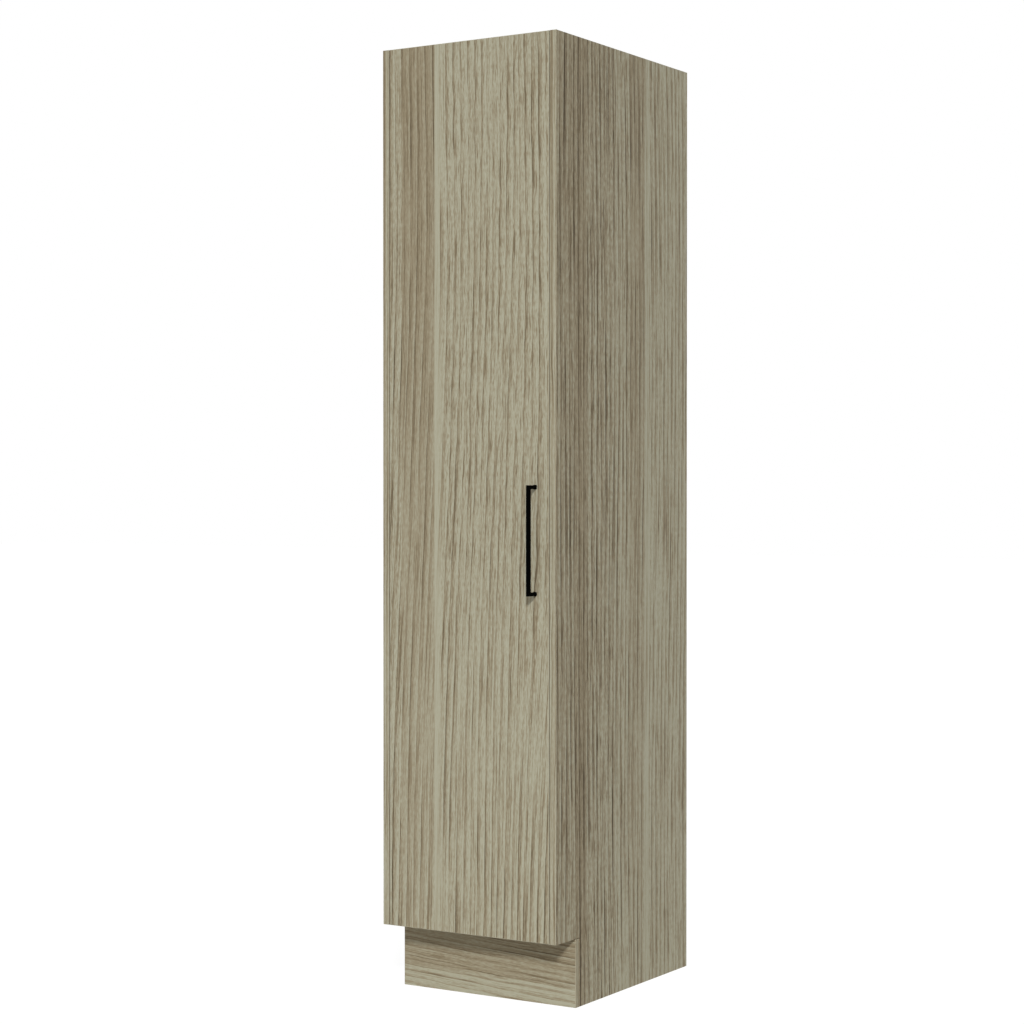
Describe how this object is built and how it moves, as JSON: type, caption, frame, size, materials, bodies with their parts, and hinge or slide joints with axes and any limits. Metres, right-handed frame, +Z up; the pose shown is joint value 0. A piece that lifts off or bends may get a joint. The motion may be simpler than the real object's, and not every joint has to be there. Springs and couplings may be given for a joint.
{
  "type": "broom cupboard",
  "caption": "Tall narrow cupboard with a full-height hinged door, an open broom bay under shelves, a recessed kickboard and a slim bar handle.",
  "frame": {"origin": "floor level, under the middle of the whole outline, handle included", "axes": "+Z up, -Y out of the front towards someone who opens the door, +X to that person's right"},
  "size_m": [0.45, 0.629, 2.1],
  "materials": {
    "oak_decor_board": "matt",
    "oak_decor_edging": "matt",
    "back_board": "matt",
    "zinc_castings": "satin",
    "plated_steel": "satin",
    "beech_dowel": "matt",
    "block_plastic": "matt",
    "black_handle": "satin",
    "soft_stop": "matt"
  },
  "bodies": {
    "carcass": {"left_side_panel": "oak_decor_board", "right_side_panel": "oak_decor_board", "top_panel": "oak_decor_board", "bottom_panel": "oak_decor_board", "fixed_shelf": "oak_decor_board", "adjustable_shelf": "oak_decor_board", "kickboard": "oak_decor_board", "upper_fixing_rail": "oak_decor_board", "lower_fixing_rail": "oak_decor_board", "side_edging": "oak_decor_edging", "kick_edging": "oak_decor_edging", "carcass_edging": "oak_decor_edging", "shelf_edging": "oak_decor_edging", "back_panel": "back_board", "cam_locks": "zinc_castings", "hinge_plates": "zinc_castings", "cam_bolts": "plated_steel", "shelf_pins": "plated_steel", "kick_block_screws": "plated_steel", "hinge_plate_screws": "plated_steel", "hinge_arms": "plated_steel", "hinge_arm_screws": "plated_steel", "wood_dowels": "beech_dowel", "kick_corner_blocks": "block_plastic"},
    "door": {"door_panel": "oak_decor_board", "door_edging": "oak_decor_edging", "hinge_cups": "zinc_castings", "hinge_pins": "plated_steel", "hinge_cup_screws": "plated_steel", "handle": "black_handle", "handle_screws": "plated_steel", "door_bumpers": "soft_stop"}
  },
  "joints": [
    {"name": "door_swing", "type": "hinge", "parent": "carcass", "child": "door", "pos_m": [-0.1974, -0.2776, 1.125], "axis": [0, 0, -1], "range_deg": [0, 95]}
  ]
}
